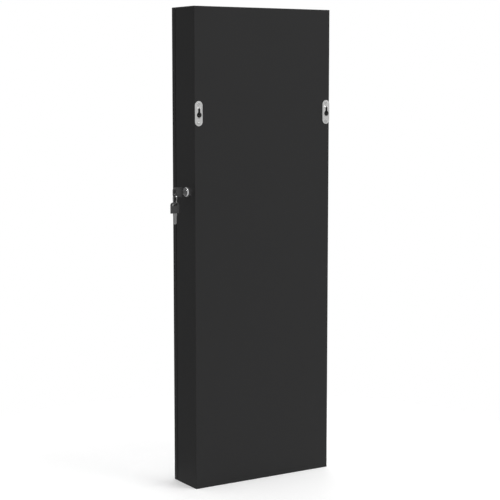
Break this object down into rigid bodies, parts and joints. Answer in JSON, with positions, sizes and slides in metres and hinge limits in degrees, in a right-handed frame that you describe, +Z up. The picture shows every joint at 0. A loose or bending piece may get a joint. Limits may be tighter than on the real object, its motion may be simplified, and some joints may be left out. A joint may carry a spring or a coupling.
{
  "type": "jewelry cabinet",
  "caption": "Shallow wall-hung jewelry cabinet with a lockable mirror door, keyhole hangers, shelves, hooks, a ring cushion and a key with a spare on a ring.",
  "frame": {"origin": "midway between the two hanger keyholes' centres, on the plane that touches the wall", "axes": "+X right seen from the front, +Y into the wall, +Z up; the mirror faces -Y"},
  "size_m": [0.3414, 0.0875, 0.9],
  "materials": {
    "black_lacquer": "smooth black satin lacquer on board",
    "black_board": "matt black foil on board",
    "backing_board": "dark hardboard",
    "beech": "bare fluted beech",
    "flocked_lining": "short black flock",
    "flocked_foam": "soft black flocked foam",
    "mirror_glass": "silvered glass",
    "nickel_plate": "satin nickel-plated pressed steel",
    "steel_hinge": "nickel-plated rolled steel",
    "steel_screw": "plated steel",
    "zinc_plate": "bright zinc-plated pressing",
    "polished_hook": "polished nickel",
    "lock_chrome": "bright chrome plate",
    "plug_metal": "satin die-cast metal",
    "key_steel": "milled nickel-plated steel",
    "ring_steel": "tempered spring steel",
    "key_plastic": "moulded black plastic",
    "black_plastic": "moulded black plastic",
    "magnet": "sintered ferrite",
    "bumper_rubber": "soft grey rubber"
  },
  "bodies": {
    "case": {"case_back": "black_lacquer", "case_side_left": "black_lacquer", "case_side_right": "black_lacquer", "case_top": "black_lacquer", "case_bottom": "black_lacquer", "case_dowels": "beech", "back_lining": "flocked_lining", "hanger_plates": "nickel_plate", "hanger_screws": "nickel_plate", "hinge_case_leaves": "steel_hinge", "hinge_case_screws": "steel_screw", "shelf_1": "black_board", "shelf_2": "black_board", "shelf_3": "black_board", "shelf_4": "black_board", "shelf_5": "black_board", "shelf_pins": "steel_screw", "guard_strip_1": "black_board", "guard_strip_2": "black_board", "guard_strip_3": "black_board", "guard_strip_4": "black_board", "ring_cushion": "flocked_foam", "necklace_rail": "black_board", "necklace_hooks": "polished_hook", "bracelet_rod": "polished_hook", "rod_sockets": "black_plastic", "catch_housing": "black_plastic", "catch_magnet": "magnet", "catch_screws": "steel_screw", "lock_housing": "lock_chrome", "lock_nut": "steel_screw"},
    "door": {"door_stile_left": "black_lacquer", "door_stile_right": "black_lacquer", "door_rail_top": "black_lacquer", "door_rail_bottom": "black_lacquer", "mirror_glass": "mirror_glass", "mirror_backing": "backing_board", "door_lining": "flocked_lining", "earring_panel": "black_board", "earring_standoffs": "polished_hook", "door_hook_rail": "black_board", "door_hooks": "polished_hook", "keeper_bracket": "zinc_plate", "keeper_pin": "steel_screw", "keeper_screws": "steel_screw", "strike_plate": "zinc_plate", "door_bumpers": "bumper_rubber", "hinge_door_leaves": "steel_hinge", "hinge_pins": "steel_screw", "hinge_door_screws": "steel_screw"},
    "lock": {"lock_plug": "plug_metal", "lock_cam": "zinc_plate", "cam_screw": "steel_screw"},
    "key": {"key_blade": "key_steel", "key_bow": "key_plastic"},
    "ring": {"key_ring": "ring_steel"},
    "spare_key": {"spare_key_blade": "key_steel", "spare_key_bow": "key_plastic"}
  },
  "joints": [
    {"name": "door_swing", "type": "hinge", "parent": "case", "child": "door", "pos_m": [-0.1527, -0.07475, 0], "axis": [0, 0, -1], "range_deg": [0, 180]},
    {"name": "lock_turn", "type": "hinge", "parent": "case", "child": "lock", "pos_m": [0.15, -0.0305, -0.1425], "axis": [-1, 0, 0], "range_deg": [0, 90]},
    {"name": "key_pull", "type": "slide", "parent": "lock", "child": "key", "axis": [1, 0, 0], "range_m": [0, 0.018]},
    {"name": "ring_hang", "type": "hinge", "parent": "key", "child": "ring", "pos_m": [0.1771, -0.0305, -0.14958], "axis": [-1, 0, 0], "range_deg": [-92, 2]},
    {"name": "spare_key_swing", "type": "hinge", "parent": "ring", "child": "spare_key", "pos_m": [0.1771, -0.0305, -0.16387], "axis": [0, 1, 0], "range_deg": [-20, 20]}
  ],
  "couplings": [
    {"joint": "ring_hang", "follows": "lock_turn", "ratio": -1}
  ]
}
